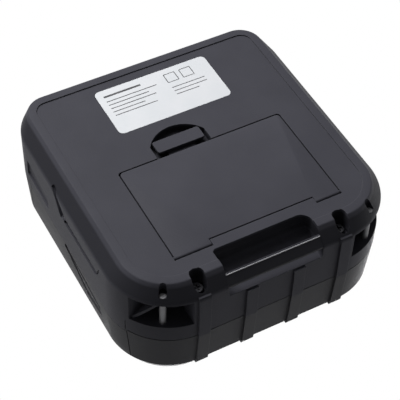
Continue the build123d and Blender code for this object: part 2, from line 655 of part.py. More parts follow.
def media_tray():
    """The trough that the label roll lies in, with slots for the guides' feet."""
    ring = rod_x(-TRAY_HALF, TRAY_HALF, ROLL_Y, ROLL_Z, TRAY_R + TRAY_WALL) \
        - rod_x(-TRAY_HALF - 1, TRAY_HALF + 1, ROLL_Y, ROLL_Z, TRAY_R)
    tray = ring & box(-FAR, FAR, -FAR, FAR, 0, ROLL_Z - 2)
    tray += box(-TRAY_HALF, TRAY_HALF, ROLL_Y + TRAY_R, 10.5, ROLL_Z - 3.5, ROLL_Z - 2)
    for x0, x1 in ((-TRAY_HALF, 1.2 - TRAY_HALF), (TRAY_HALF - 1.2, TRAY_HALF)):
        tray += box(x0, x1, ROLL_Y - 20, DOOR_FRONT - 2.6, WALL, ROLL_Z - 14) \
            - rod_x(x0 - 1, x1 + 1, ROLL_Y, ROLL_Z, TRAY_R + 0.5)
    tray -= box(-60, -22, ROLL_Y - 11.2, ROLL_Y - 5.8, 5, 25)
    return tray - box(22, 60, ROLL_Y + 5.8, ROLL_Y + 11.2, 5, 25)


def media_guide(side):
    """A roll guide: the cheek with its hub, the foot through the tray and the rack below it."""
    pitch = pi * RACK_MODULE
    reach = RACK_MODULE * RACK_TEETH / 2
    cheek = Plane(origin=(-GUIDE_X - GUIDE_THICK, ROLL_Y, ROLL_Z), x_dir=(0, 1, 0), z_dir=(1, 0, 0)) \
        * extrude(Circle(23.0) - Pos(0, 14) * Circle(4) - Pos(14, 0) * Circle(4) - Pos(-14, 0) * Circle(4),
                  GUIDE_THICK)
    cheek -= box(-FAR, FAR, -FAR, FAR, 60, 80)
    guide = cheek + rod_x(-GUIDE_X, -GUIDE_X + 5, ROLL_Y, ROLL_Z, 9.0) - rod_x(-GUIDE_X, FAR, ROLL_Y, ROLL_Z, 5.5)
    guide += box(-GUIDE_X - GUIDE_THICK, -GUIDE_X, ROLL_Y - 10.0, ROLL_Y - 6.4, RACK_Z[0], 26)
    # rack on the front side of the pinion, teeth towards +Y
    line = ROLL_Y - reach
    root, tip, back = line - 1.15 * RACK_MODULE, line + 0.85 * RACK_MODULE, line - 4.6
    first, last = -22, 2
    points = [(-GUIDE_X - GUIDE_THICK, back), (-GUIDE_X - GUIDE_THICK, root)]
    for tooth in range(first, last):
        x = (tooth + 0.5) * pitch
        points += [(x - 0.27 * pitch, root), (x - 0.11 * pitch, tip), (x + 0.11 * pitch, tip), (x + 0.27 * pitch, root)]
    points += [((last + 0.2) * pitch, root), ((last + 0.2) * pitch, back)]
    rack = Pos(0, 0, RACK_Z[0]) * extrude(make_face(Polyline(points, close=True)), RACK_Z[1] - RACK_Z[0])
    guide += rack
    if side < 0:
        return guide
    turn = Pos(0, ROLL_Y, 0) * Rot(0, 0, 180) * Pos(0, -ROLL_Y, 0)
    return turn * guide


def guide_pinion():
    # A tooth points along -Y, between two teeth of the rack there.
    wheel = Pos(0, ROLL_Y, RACK_Z[0]) * gear(RACK_TEETH, RACK_MODULE, RACK_Z[1] - RACK_Z[0], -pi / 2)
    return wheel - rod_z(0, ROLL_Y, 0, 20, 1.55)


def guide_post():
    foot = WELL_FLOOR + 1.8
    return rod_z(0, ROLL_Y, foot, RACK_Z[0] - 0.3, 3.0) + rod_z(0, ROLL_Y, foot, RACK_Z[1] + 0.4, 1.5)


def gap_sensor():
    return box(-6, 6, -47.2, -45.2, 44.5, 47.5)


def battery_pack():
    pack = box(-42.5, 46.5, BAY_FRONT + 0.5, 52.2, 6.0, BAY_TOP - 0.6)
    return fillet(pack.edges().filter_by(Axis.Z), 3)


def battery_contacts():
    group = None
    for index in range(5):
        x = 20 + index * 5
        contact = box(x, x + 2.2, 52.2, 53.0, 12, 20)
        group = contact if group is None else group + contact
    return group


def battery_door():
    door = slab(door_plan(), FACE_STEP, FACE_STEP + DOOR_THICK)
    # rounded rear ends of the tabs, turning about their pins
    for x0, x1 in ((DOOR_X[0], TAB_LEFT), (TAB_RIGHT, DOOR_X[1])):
        door -= box(x0 - 1, x1 + 1, DOOR_PIVOT_Y, DOOR_TABS + 1, -1, 5)
        door += rod_x(x0, x1, DOOR_PIVOT_Y, DOOR_PIVOT_Z, DOOR_THICK / 2)
    door += rod_x(DOOR_X[0] - 1.6, DOOR_X[0] + 2, DOOR_PIVOT_Y, DOOR_PIVOT_Z, DOOR_PIN_R)
    door += rod_x(DOOR_X[1] - 2, DOOR_X[1] + 1.6, DOOR_PIVOT_Y, DOOR_PIVOT_Z, DOOR_PIN_R)
    inner = FACE_STEP + DOOR_THICK
    for x0, x1, over0, over1 in ((-17, -15.3, -17, -13), (1.3, 3, -1, 3)):
        door += box(x0, x1, DOOR_FRONT + 2.4, 5, inner, 5.0)
        door += box(over0, over1, DOOR_FRONT + 2.4, 5, 4.9, 5.6)
    return door


def door_catch():
    """The catch in the finger well: its thumb plate, the stem on the door and the hook."""
    plate = box(-20.5, 6.8, -16, -7.9, 0.8, 2.3)
    plate = fillet(plate.edges().filter_by(Axis.Z), 1.2)
    catch = plate + box(-15, 1, -9.6, -7.9, 2.2, 4.7) + box(-15, 1, -9.6, 3.5, 3.3, 4.7)
    catch += box(-9, -5, -13.4, -11.6, 2.2, 8.7)
    return catch + box(-9, -5, -15.4, -11.6, 7.1, 8.7)


def main_board():
    board = box(-62, 62, 12, 57, 29, 30.6)
    for x, y in ((-58, 16), (58, 16), (-58, 53), (58, 53)):
        board -= rod_z(x, y, 20, 40, 1.6)
    return board


def board_chips():
    group = None
    for x, y, w, d, h in ((-20, 30, 14, 14, 1.4), (12, 26, 10, 12, 1.2), (30, 44, 8, 6, 3), (-46, 24, 12, 7, 5)):
        chip = box(x - w / 2, x + w / 2, y - d / 2, y + d / 2, 30.6, 30.6 + h)
        group = chip if group is None else group + chip
    return group


DECK_HALF = 70.0       # clear of the lid's side walls, which swing forward as it opens


def inner_deck():
    """The panel that closes the electronics off from the media bay."""
    deck = box(-FAR, FAR, 10.5, 60.2, 42, 43.5)
    for x, y in ((-66, 16), (66, 16), (-60, 52), (60, 52)):
        deck += rod_z(x, y, 30.6, 42, 3)
    return deck & casing(WALL + 0.5) & box(-DECK_HALF, DECK_HALF, -FAR, FAR, 0, FAR)


def port_board():
    board = box(60, 70.5, 13, 46, 12.2, 13.8)
    return board


def usb_socket():
    shell = box(66, 75, 18, 27, 13.8, 17.2)
    return shell - box(67, 76, 18.5, 26.5, 14.3, 16.7)


def power_socket():
    body = box(62, 75, 32, 41, 13.8, 24)
    return body - rod_x(66, 76, 36.5, 19.0, 3.0) + rod_x(65, 74, 36.5, 19.0, 0.9)


def port_flap():
    """The soft flap over the sockets, which turns about pins moulded on its rear edge."""
    wall, pivot = WIDTH / 2, PORT_Y[1] - 1.5
    low, high = PORT_Z[0] + 0.4, PORT_Z[1] - 0.4
    flap = box(wall - 2 * FLAP_HALF, wall, PORT_Y[0] + 0.4, pivot, low, high)
    flap = fillet(flap.edges().filter_by(Axis.X).group_by(Axis.Y)[0], 1.5)
    flap += rod_z(wall - FLAP_HALF, pivot, low, high, FLAP_HALF)
    return flap + rod_z(wall - FLAP_HALF, pivot, low - 1.1, high + 1.1, FLAP_PIN_R)


def front_screws():
    """The two screws that hold the front housing's feet, driven from inside the media bay."""
    group = None
    for side in (-1, 1):
        x, y = side * FRONT_BOSS[0], FRONT_BOSS[1]
        screw = rod_z(x, y, SEAM + 3, SEAM + 5.2, SCREW_HEAD_R) + rod_z(x, y, 22, SEAM + 3, SCREW_R)
        group = screw if group is None else group + screw
    return group


def casing_screws():
    group = None
    for side in (-1, 1):
        x, y = side * WELL_X, WELL_Y - 1.2
        screw = rod_z(x, y, WELL_TOP - 2.2, WELL_TOP, SCREW_HEAD_R) + rod_z(x, y, WELL_TOP, 52, SCREW_R)
        screw -= box(x - 0.45, x + 0.45, y - 1.9, y + 1.9, 0, WELL_TOP - 1.2)
        screw -= box(x - 1.9, x + 1.9, y - 0.45, y + 0.45, 0, WELL_TOP - 1.2)
        group = screw if group is None else group + screw
    return group


def strap_posts():
    group = None
    for side in (-1, 1):
        post = rod_z(side * POST_X, POST_Y, 6.0, 29.0, 1.75)
        group = post if group is None else group + post
    return group


def belt_bar():
    return side_prism(-RECESS_HALF - 2, RECESS_HALF + 2, bar_profile())


def hinge_pin():
    return rod_x(-HINGE_HALF, HINGE_HALF, HINGE_Y, HINGE_Z, PIN_R)


def rating_label():
    middle = ((LABEL_X[0] + LABEL_X[1]) / 2, (LABEL_Y[0] + LABEL_Y[1]) / 2)
    plate = Pos(*middle) * RectangleRounded(LABEL_X[1] - LABEL_X[0] - 0.2, LABEL_Y[1] - LABEL_Y[0] - 0.2, 2.9)
    return slab(plate, FACE_STEP, FACE_STEP + LABEL_THICK)


NODES = {
    "base_shell": base_shell, "rear_housing": rear_housing, "front_housing": front_housing,
    "media_lid": media_lid, "lid_window": lid_window, "hinge_pin": hinge_pin,
    "display_window": display_window, "display_module": display_module, "status_light": status_light,
    "power_button": lambda: push_button(BUTTONS["power_button"]),
    "feed_button": lambda: push_button(BUTTONS["feed_button"]),
    "key_board": key_board, "key_switches": key_switches,
    "release_button": release_button, "latch_shaft": latch_shaft, "latch_hooks": latch_hooks,
    "print_frame": print_frame, "print_head": print_head, "head_heat_sink": head_heat_sink,
    "tear_bar": tear_bar, "platen_shaft": platen_shaft, "platen_rubber": platen_rubber,
    "platen_bearings": platen_bearings, "platen_gear": platen_gear, "idler_gear": idler_gear,
    "idler_post": idler_post, "motor_pinion": motor_pinion, "motor_shaft": motor_shaft,
    "stepper_motor": stepper_motor, "media_tray": media_tray,
    "media_guide_left": lambda: media_guide(-1), "media_guide_right": lambda: media_guide(1),
    "guide_pinion": guide_pinion, "guide_post": guide_post, "gap_sensor": gap_sensor,
    "battery_pack": battery_pack, "battery_contacts": battery_contacts, "battery_door": battery_door,
    "door_catch": door_catch, "main_board": main_board, "board_chips": board_chips,
    "inner_deck": inner_deck, "port_board": port_board, "usb_socket": usb_socket,
    "power_socket": power_socket, "port_flap": port_flap, "casing_screws": casing_screws,
    "front_screws": front_screws, "strap_posts": strap_posts, "belt_bar": belt_bar, "rating_label": rating_label,
}

for node, make in NODES.items():
    export_step(make(), f"parts/{node}.step")
    print(node)
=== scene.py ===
# %% [markdown]
# # A rugged label printer, seen from below
# The printer lies on its lid in the photograph, so we look at its underside and its rear wall. The
# imported model is loaded first, because every finish and every small piece below is placed from it.

# %% Load the imported model
import json
from math import cos, pi, radians, sin

import bpy
from mathutils import Matrix, Vector


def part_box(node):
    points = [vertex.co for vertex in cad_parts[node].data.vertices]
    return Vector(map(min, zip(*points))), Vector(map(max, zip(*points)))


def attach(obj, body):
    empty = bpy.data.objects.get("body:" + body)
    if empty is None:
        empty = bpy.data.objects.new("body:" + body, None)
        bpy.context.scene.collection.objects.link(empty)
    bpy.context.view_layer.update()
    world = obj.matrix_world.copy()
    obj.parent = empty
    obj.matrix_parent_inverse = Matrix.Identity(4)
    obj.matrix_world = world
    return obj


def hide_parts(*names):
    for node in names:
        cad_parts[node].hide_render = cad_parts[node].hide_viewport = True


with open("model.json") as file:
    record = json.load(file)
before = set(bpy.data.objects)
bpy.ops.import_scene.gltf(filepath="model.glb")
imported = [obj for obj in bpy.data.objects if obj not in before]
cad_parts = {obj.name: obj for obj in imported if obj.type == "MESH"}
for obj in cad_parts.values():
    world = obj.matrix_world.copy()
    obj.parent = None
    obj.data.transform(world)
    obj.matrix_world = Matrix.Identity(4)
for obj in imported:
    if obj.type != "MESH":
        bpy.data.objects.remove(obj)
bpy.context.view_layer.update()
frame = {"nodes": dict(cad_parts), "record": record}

NODES = frame["nodes"]
MM = 0.001

# %% [markdown]
# ## Camera
# The viewing angle was fitted to the photograph's rim, battery door, label and outline. It is easiest to
# say for a printer that lies on its lid, so the camera is set up in that position and then turned half
# a turn about the X axis together with it. The lens is long, as for a product shot, which keeps the
# sides nearly parallel.

# %% Camera at the photograph's angle
AZIMUTH = radians(-29.755)
ELEVATION = radians(49.257)
ROLL = radians(1.973)
DISTANCE = 0.6991
AIM = Vector((-0.0027, -0.0059, -0.0334))
LENS = 117.0
SENSOR = 36.0
NEAREST = 0.05


def photo_camera():
    back = Vector((sin(AZIMUTH) * cos(ELEVATION), -cos(AZIMUTH) * cos(ELEVATION), sin(ELEVATION)))
    across = Vector((0, 0, 1)).cross(back).normalized()
    upward = back.cross(across)
    right = across * cos(ROLL) + upward * sin(ROLL)
    up = upward * cos(ROLL) - across * sin(ROLL)
    place = Matrix((right, up, back)).transposed().to_4x4()
    place.translation = AIM + back * DISTANCE
    data = bpy.data.cameras.new("photo_camera")
    data.lens = LENS
    data.sensor_width = SENSOR
    data.clip_start = NEAREST
    camera = bpy.data.objects.new("photo_camera", data)
    bpy.context.scene.collection.objects.link(camera)
    camera.matrix_world = Matrix.Rotation(pi, 4, "X") @ place
    return camera


bpy.context.scene.camera = photo_camera()
print("camera at", [round(v, 3) for v in bpy.context.scene.camera.matrix_world.translation])

# %% [markdown]
# ## Light, background and floor
# Product photographs of dark plastic use large soft lamps, so that rounded edges get broad highlights.
# The main lamp stands below and in front of the printer, so the underside is lighter than the walls, as
# in the photograph. Weaker lamps light the walls, and another lights the lid for views from above. The
# world is white where the camera or a reflection looks at it, and dim as a light. The floor shows only
# from above, because the photograph's camera would otherwise look up through it. It lies a hair below
# the rim, since two faces in one plane shade each other.

# %% Lamps
LAMP_AIM = Vector((0, 0, 0.036))


def soft_lamp(name, place, size, power):
    data = bpy.data.lights.new(name, "AREA")
    data.shape = "DISK"
    data.size = size
    data.energy = power
    lamp = bpy.data.objects.new(name, data)
    bpy.context.scene.collection.objects.link(lamp)
    lamp.location = place
    lamp.rotation_mode = "QUATERNION"
    lamp.rotation_quaternion = (LAMP_AIM - Vector(place)).to_track_quat("-Z", "Y")


LAMPS = {
    "underside_lamp": ((-0.22, -0.60, -0.92), 0.7, 17.5),
    "left_wall_lamp": ((-1.05, -0.25, 0.25), 0.5, 1.0),
    "rear_wall_lamp": ((0.55, 0.85, 0.50), 0.6, 0.5),
    "lid_side_lamp": ((0.35, -0.35, 1.00), 0.9, 11.0),
    "front_lamp": ((0.45, -1.10, 0.35), 0.8, 5.0),
    "right_wall_lamp": ((1.10, 0.25, 0.30), 0.8, 4.0),
}
for lamp_name, (lamp_place, lamp_size, lamp_power) in LAMPS.items():
    soft_lamp(lamp_name, lamp_place, lamp_size, lamp_power)
print("lamps:", len(LAMPS))

# %% A world that is white to look at and dim as a light
WORLD_LIGHT = 0.07


def white_world():
    world = bpy.data.worlds.new("white_world")
    bpy.context.scene.world = world
    world.use_nodes = True
    nodes, links = world.node_tree.nodes, world.node_tree.links
    background = nodes["Background"]
    background.inputs["Color"].default_value = (1, 1, 1, 1)
    path = nodes.new("ShaderNodeLightPath")
    seen = nodes.new("ShaderNodeMath")
    seen.operation = "MAXIMUM"
    links.new(path.outputs["Is Camera Ray"], seen.inputs[0])
    clear = nodes.new("ShaderNodeMath")
    clear.operation = "MAXIMUM"
    links.new(path.outputs["Is Glossy Ray"], clear.inputs[0])
    links.new(path.outputs["Is Transmission Ray"], clear.inputs[1])
    links.new(clear.outputs[0], seen.inputs[1])
    level = nodes.new("ShaderNodeMapRange")
    level.inputs["To Min"].default_value = WORLD_LIGHT
    level.inputs["To Max"].default_value = 1.0
    links.new(seen.outputs[0], level.inputs["Value"])
    links.new(level.outputs["Result"], background.inputs["Strength"])


white_world()
print("world light:", WORLD_LIGHT)

# %% A floor that shows from above only
FLOOR_Z = -0.0004
FLOOR_SIDE = 6.0
FLOOR_COLOUR = (0.86, 0.86, 0.87, 1)
FLOOR_GLOW = 0.95
GLOW_SHARE = 0.45


def pale_floor():
    bpy.ops.object.select_all(action="DESELECT")
    bpy.ops.mesh.primitive_plane_add(size=FLOOR_SIDE, location=(0, 0, FLOOR_Z))
    floor = bpy.context.active_object
    floor.name = "floor"
    material = bpy.data.materials.new("floor_paper")
    material.use_nodes = True
    nodes, links = material.node_tree.nodes, material.node_tree.links
    nodes.clear()
    out = nodes.new("ShaderNodeOutputMaterial")
    paper = nodes.new("ShaderNodeBsdfDiffuse")
    paper.inputs["Color"].default_value = FLOOR_COLOUR
    glow = nodes.new("ShaderNodeEmission")
    glow.inputs["Color"].default_value = (1, 1, 1, 1)
    glow.inputs["Strength"].default_value = FLOOR_GLOW
    pale = nodes.new("ShaderNodeMixShader")
    pale.inputs[0].default_value = GLOW_SHARE
    links.new(paper.outputs[0], pale.inputs[1])
    links.new(glow.outputs[0], pale.inputs[2])
    path = nodes.new("ShaderNodeLightPath")
    side = nodes.new("ShaderNodeNewGeometry")
    front = nodes.new("ShaderNodeMath")
    front.operation = "SUBTRACT"
    links.new(path.outputs["Is Camera Ray"], front.inputs[0])
    links.new(side.outputs["Backfacing"], front.inputs[1])
    front.use_clamp = True
    clear = nodes.new("ShaderNodeBsdfTransparent")
    mix = nodes.new("ShaderNodeMixShader")
    links.new(front.outputs[0], mix.inputs[0])
    links.new(clear.outputs[0], mix.inputs[1])
    links.new(pale.outputs[0], mix.inputs[2])
    links.new(mix.outputs[0], out.inputs["Surface"])
    floor.data.materials.append(material)


pale_floor()
bpy.context.scene.view_settings.view_transform = "Standard"
print("floor at", FLOOR_Z)

# %% [markdown]
# ## Shared effects
# Three effects return in many finishes, so each is a node group with its own named inputs. *Moulded
# grain* is the fine spark-eroded texture that a mould leaves on plastic, as a height for a bump. *Colour
# drift* tints a surface in slow soft patches, as handling and light do. *Edge mask* finds edges by
# comparing the true normal with a rounded one, so that they can be a little lighter and smoother.

# %% Helpers for node groups
def effect(name, inputs, outputs):
    group = bpy.data.node_groups.new(name, "ShaderNodeTree")
    for socket, kind, value in inputs:
        made = group.interface.new_socket(name=socket, in_out="INPUT", socket_type=kind)
        if value is not None:
            made.default_value = value
    for socket, kind in outputs:
        group.interface.new_socket(name=socket, in_out="OUTPUT", socket_type=kind)
    start = group.nodes.new("NodeGroupInput")
    end = group.nodes.new("NodeGroupOutput")
    return group, start, end


def math_node(nodes, links, operation, first, second):
    node = nodes.new("ShaderNodeMath")
    node.operation = operation
    for socket, value in zip(node.inputs, (first, second)):
        if isinstance(value, (int, float)):
            socket.default_value = value
        else:
            links.new(value, socket)
    return node.outputs[0]


# %% Moulded grain
PIT_SHARE = 0.55


def moulded_grain():
    group, start, end = effect(
        "moulded_grain",
        [("Vector", "NodeSocketVector", None), ("Grains per metre", "NodeSocketFloat", 2600.0)],
        [("Height", "NodeSocketFloat"), ("Pits", "NodeSocketFloat")])
    nodes, links = group.nodes, group.links
    fine = nodes.new("ShaderNodeTexNoise")
    fine.inputs["Detail"].default_value = 2.0
    fine.inputs["Roughness"].default_value = 0.6
    cells = nodes.new("ShaderNodeTexVoronoi")
    links.new(start.outputs["Vector"], fine.inputs["Vector"])
    links.new(start.outputs["Vector"], cells.inputs["Vector"])
    links.new(start.outputs["Grains per metre"], fine.inputs["Scale"])
    coarse = math_node(nodes, links, "MULTIPLY", start.outputs["Grains per metre"], PIT_SHARE)
    links.new(coarse, cells.inputs["Scale"])
    both = math_node(nodes, links, "ADD", fine.outputs["Fac"], cells.outputs["Distance"])
    links.new(both, end.inputs["Height"])
    links.new(cells.outputs["Distance"], end.inputs["Pits"])
    return group


GRAIN = moulded_grain()
print("effect:", GRAIN.name)


# %% Colour drift
def colour_drift():
    group, start, end = effect(
        "colour_drift",
        [("Vector", "NodeSocketVector", None),
         ("Colour", "NodeSocketColor", (0.5, 0.5, 0.5, 1)),
         ("Other colour", "NodeSocketColor", (0.6, 0.6, 0.6, 1)),
         ("Patches per metre", "NodeSocketFloat", 30.0)],
        [("Colour", "NodeSocketColor"), ("Patch", "NodeSocketFloat")])
    nodes, links = group.nodes, group.links
    patches = nodes.new("ShaderNodeTexNoise")
    patches.inputs["Detail"].default_value = 3.0
    links.new(start.outputs["Vector"], patches.inputs["Vector"])
    links.new(start.outputs["Patches per metre"], patches.inputs["Scale"])
    spread = nodes.new("ShaderNodeMapRange")
    spread.inputs["From Min"].default_value = 0.35
    spread.inputs["From Max"].default_value = 0.65
    links.new(patches.outputs["Fac"], spread.inputs["Value"])
    mix = nodes.new("ShaderNodeMix")
    mix.data_type = "RGBA"
    links.new(spread.outputs["Result"], mix.inputs["Factor"])
    colour_in = [s for s in mix.inputs if s.type == "RGBA"]
    links.new(start.outputs["Colour"], colour_in[0])
    links.new(start.outputs["Other colour"], colour_in[1])
    colour_out = [s for s in mix.outputs if s.type == "RGBA"][0]
    links.new(colour_out, end.inputs["Colour"])
    links.new(spread.outputs["Result"], end.inputs["Patch"])
    return group


DRIFT = colour_drift()
print("effect:", DRIFT.name)


# %% Edge mask
def edge_mask():
    group, start, end = effect(
        "edge_mask", [("Width", "NodeSocketFloat", 0.0004)],
        [("Edge", "NodeSocketFloat"), ("Normal", "NodeSocketVector")])
    nodes, links = group.nodes, group.links
    rounded = nodes.new("ShaderNodeBevel")
    rounded.samples = 4
    links.new(start.outputs["Width"], rounded.inputs["Radius"])
    flat = nodes.new("ShaderNodeNewGeometry")
    dot = nodes.new("ShaderNodeVectorMath")
    dot.operation = "DOT_PRODUCT"
    links.new(rounded.outputs["Normal"], dot.inputs[0])
    links.new(flat.outputs["Normal"], dot.inputs[1])
    wear_and_highlight_colour = nodes.new("ShaderNodeMapRange")
    wear_and_highlight_colour.inputs["From Min"].default_value = 0.985
    wear_and_highlight_colour.inputs["From Max"].default_value = 0.86
    links.new(dot.outputs["Value"], wear_and_highlight_colour.inputs["Value"])
    links.new(wear_and_highlight_colour.outputs["Result"], end.inputs["Edge"])
    links.new(rounded.outputs["Normal"], end.inputs["Normal"])
    return group


EDGE = edge_mask()
print("effect:", EDGE.name)

# %% [markdown]
# ## Moulded plastics
# All the casing is one black plastic. What changes from piece to piece is its shade, its gloss and how
# coarse the mould's texture is, so one function makes every plastic and rubber from those values. The
# grain feeds the bump, the drift feeds the colour, and the edge mask lightens the edges and smooths
# them, as rubbing does; on the belt bar the lightened edges are a painted highlight. The base has one
# thing more: the slope between its rim and its walls looks darker, as it lies in shade, so a height
# range, the slope's own, is given a second, darker colour: painted shade.

# %% Helpers for materials
def bare_material(name):
    material = bpy.data.materials.new(name)
    material.use_nodes = True
    nodes, links = material.node_tree.nodes, material.node_tree.links
    return material, nodes, links, nodes["Principled BSDF"]


def use_effect(nodes, links, group, **values):
    node = nodes.new("ShaderNodeGroup")
    node.node_tree = group
    for socket, value in values.items():
        named = node.inputs[socket.replace("_", " ")]
        if hasattr(value, "is_output"):
            links.new(value, named)
        else:
            named.default_value = value
    return node


def on_object(nodes):
    return nodes.new("ShaderNodeTexCoord").outputs["Object"]


def rgba(colour):
    return (*colour, 1.0)


def range_to(nodes, links, value, low, high, start=0.0, end=1.0):
    node = nodes.new("ShaderNodeMapRange")
    node.inputs["From Min"].default_value = start
    node.inputs["From Max"].default_value = end
    node.inputs["To Min"].default_value = low
    node.inputs["To Max"].default_value = high
    links.new(value, node.inputs["Value"])
    return node.outputs["Result"]


def mixed(nodes, links, factor, first, second):
    node = nodes.new("ShaderNodeMix")
    node.data_type = "RGBA"
    links.new(factor, node.inputs["Factor"])
    sockets = [s for s in node.inputs if s.type == "RGBA"]
    for socket, value in zip(sockets, (first, second)):
        if hasattr(value, "is_output"):
            links.new(value, socket)
        else:
            socket.default_value = rgba(value)
    return [s for s in node.outputs if s.type == "RGBA"][0]


def add_bump(nodes, links, shader, height, depth, normal=None):
    bump = nodes.new("ShaderNodeBump")
    bump.inputs["Distance"].default_value = depth
    links.new(height, bump.inputs["Height"])
    if normal:
        links.new(normal, bump.inputs["Normal"])
    links.new(bump.outputs["Normal"], shader.inputs["Normal"])


# %% One recipe for every plastic and rubber
LEAST_WEAR_AND_HIGHLIGHT = 0.4
EDGE_POLISH = 0.15
# The slope's darker colour is painted shade; it fades in and out over these heights.
SLOPE_START = 0.001
SLOPE_END = 0.0016


def slope_shade_mask(nodes, links, where, low, high):
    height = nodes.new("ShaderNodeSeparateXYZ")
    links.new(where, height.inputs[0])
    rise = range_to(nodes, links, height.outputs["Z"], 0.0, 1.0, low, low + SLOPE_START)
    fall = range_to(nodes, links, height.outputs["Z"], 1.0, 0.0, high, high + SLOPE_END)
    return math_node(nodes, links, "MULTIPLY", rise, fall)


def moulded(name, colour, drift_to, gloss=(0.48, 0.6), grains=2600.0, depth=0.00003, shine=0.3,
            wear_and_highlight_colour=(0.12, 0.12, 0.13), wear_and_highlight=0.35, edge=0.0004, patches=30.0, slope=None):
    material, nodes, links, shader = bare_material(name)
    where = on_object(nodes)
    grain = use_effect(nodes, links, GRAIN, Vector=where, Grains_per_metre=grains)
    drift = use_effect(nodes, links, DRIFT, Vector=where, Colour=rgba(colour),
                       Other_colour=rgba(drift_to), Patches_per_metre=patches)
    edge_finder = use_effect(nodes, links, EDGE, Width=edge)
    # Edges lighten towards the worn colour: real edge wear, and on the belt bar a painted highlight.
    edge_wear_and_highlight = math_node(nodes, links, "MULTIPLY", edge_finder.outputs["Edge"], wear_and_highlight)
    uneven = range_to(nodes, links, drift.outputs["Patch"], LEAST_WEAR_AND_HIGHLIGHT, 1.0)
    patchy_wear_and_highlight = math_node(nodes, links, "MULTIPLY", edge_wear_and_highlight, uneven)
    skin = mixed(nodes, links, patchy_wear_and_highlight, drift.outputs["Colour"], wear_and_highlight_colour)
    # Painted shade: the base's slope gets a darker colour over its height range.
    if slope:
        low, high, slope_shade_colour = slope
        skin = mixed(nodes, links, slope_shade_mask(nodes, links, where, low, high), skin, slope_shade_colour)
    links.new(skin, shader.inputs["Base Color"])
    rough = range_to(nodes, links, grain.outputs["Pits"], gloss[0], gloss[1])
    polish = math_node(nodes, links, "MULTIPLY", patchy_wear_and_highlight, EDGE_POLISH)
    links.new(math_node(nodes, links, "SUBTRACT", rough, polish), shader.inputs["Roughness"])
    add_bump(nodes, links, shader, grain.outputs["Height"], depth, edge_finder.outputs["Normal"])
    shader.inputs["Specular IOR Level"].default_value = shine
    return material


# %% Plastics and rubbers
# Painted shade for the base's slope: its lowest and highest point and its darker colour.
BASE_SLOPE_PAINTED_SHADE = (0.0015, 0.0078, (0.022, 0.022, 0.027))

FINISHES = {
    "charcoal": moulded("charcoal_plastic", (0.046, 0.046, 0.056), (0.052, 0.052, 0.063), shine=0.06,
                        slope=BASE_SLOPE_PAINTED_SHADE),
    "wall_grey": moulded("housing_plastic", (0.038, 0.038, 0.042), (0.044, 0.044, 0.049), shine=0.07),
    "button_grey": moulded("soft_rubber", (0.075, 0.075, 0.08), (0.09, 0.09, 0.095), gloss=(0.6, 0.75),
                           shine=0.25, grains=3800.0, depth=0.00001, wear_and_highlight=0.2),
    "release_blue": moulded("blue_plastic", (0.03, 0.09, 0.22), (0.035, 0.10, 0.25), gloss=(0.35, 0.45),
                            wear_and_highlight_colour=(0.10, 0.18, 0.34), depth=0.000008),
    "guide_grey": moulded("guide_plastic", (0.16, 0.16, 0.165), (0.19, 0.19, 0.195), gloss=(0.38, 0.5),
                          wear_and_highlight_colour=(0.3, 0.3, 0.3), depth=0.00001),
    "tray_black": moulded("tray_plastic", (0.022, 0.022, 0.025), (0.03, 0.03, 0.033), gloss=(0.4, 0.52)),
    "pack_black": moulded("pack_plastic", (0.035, 0.035, 0.038), (0.045, 0.045, 0.048),
                          gloss=(0.5, 0.62)),
    "chip_black": moulded("chip_resin", (0.018, 0.018, 0.019), (0.026, 0.026, 0.027), gloss=(0.5, 0.7),
                          grains=5200.0, depth=0.00001, wear_and_highlight=0.15, edge=0.0002),
    "gear_white": moulded("gear_acetal", (0.62, 0.61, 0.56), (0.68, 0.67, 0.62), gloss=(0.32, 0.42),
                          wear_and_highlight_colour=(0.75, 0.74, 0.70), wear_and_highlight=0.3, depth=0.000006, edge=0.00015),
    "roller_rubber": moulded("platen_rubber", (0.028, 0.028, 0.03), (0.04, 0.04, 0.042),
                             gloss=(0.62, 0.8), grains=4200.0, depth=0.00002, wear_and_highlight=0.1),
    "ceramic": moulded("head_ceramic", (0.55, 0.54, 0.5), (0.62, 0.61, 0.57), gloss=(0.14, 0.22),
                       shine=0.5, depth=0.000003, wear_and_highlight_colour=(0.7, 0.7, 0.66), patches=60.0),
}
print("moulded finishes:", len(FINISHES))

# %% [markdown]
# ## Metals
# The hinge pin and the platen's shaft are ground steel, the print frame is zinc-plated sheet, and the
# heat sink is extruded aluminium. A metal's look is mostly its scratches: a noise that is stretched
# along one axis, for grinding or drawing, or left round, for plating. The Mapping node does the
# stretching, and the same noise feeds the roughness and the bump.

# %% Metals
METAL_EDGE = 0.0002
METAL_TARNISH = 0.86
NOISE_LOW = 0.3
NOISE_HIGH = 0.7


def metal(name, colour, rough, stretch, drift_to=None, depth=0.000004):
    material, nodes, links, shader = bare_material(name)
    where = on_object(nodes)
    turn = nodes.new("ShaderNodeMapping")
    turn.inputs["Scale"].default_value = stretch
    links.new(where, turn.inputs["Vector"])
    lines = nodes.new("ShaderNodeTexNoise")
    lines.inputs["Scale"].default_value = 1.0
    lines.inputs["Detail"].default_value = 3.0
    links.new(turn.outputs["Vector"], lines.inputs["Vector"])
    drift = use_effect(nodes, links, DRIFT, Vector=where, Colour=rgba(colour),
                       Other_colour=rgba(drift_to or [c * METAL_TARNISH for c in colour]),
                       Patches_per_metre=90.0)
    links.new(drift.outputs["Colour"], shader.inputs["Base Color"])
    scratched = range_to(nodes, links, lines.outputs["Fac"], rough[0], rough[1], NOISE_LOW, NOISE_HIGH)
    links.new(scratched, shader.inputs["Roughness"])
    shader.inputs["Metallic"].default_value = 1.0
    edge_finder = use_effect(nodes, links, EDGE, Width=METAL_EDGE)
    add_bump(nodes, links, shader, lines.outputs["Fac"], depth, edge_finder.outputs["Normal"])
    return material


